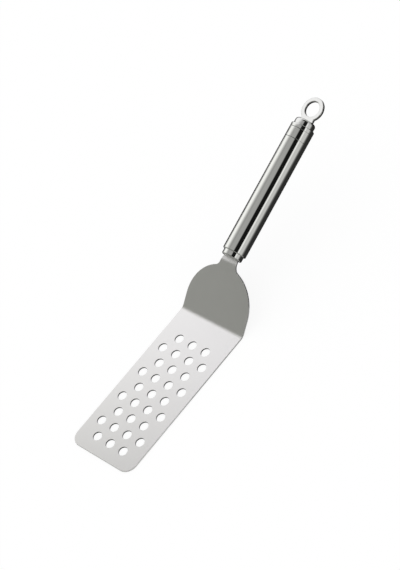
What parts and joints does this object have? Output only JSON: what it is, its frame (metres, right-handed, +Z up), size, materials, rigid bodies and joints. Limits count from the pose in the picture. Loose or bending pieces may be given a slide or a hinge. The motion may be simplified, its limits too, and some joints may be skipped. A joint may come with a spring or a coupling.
{
  "type": "fish spatula",
  "caption": "Flat perforated steel turner with a cranked shoulder, a straight hollow round handle and a flat hanging eye at its end.",
  "frame": {"origin": "on the plane of the blade's flat underside, below the middle of the tool's length and width", "axes": "+Y along the tool from the blade's tip towards the hanging eye, +Z up from the blade, +X across the blade"},
  "size_m": [0.064, 0.306, 0.0738],
  "materials": {
    "satin_sheet": "fine satin stainless sheet, brushed across the blade",
    "polished_steel": "mirror polished stainless steel, not plated",
    "weld_steel": "raw stainless weld bead, hidden inside the handle"
  },
  "bodies": {
    "root": {"blade": "satin_sheet", "front_plug": "polished_steel", "tang_weld": "weld_steel", "handle_tube": "polished_steel", "rear_plug": "polished_steel", "hanging_eye": "polished_steel", "eye_weld": "weld_steel"}
  },
  "joints": []
}
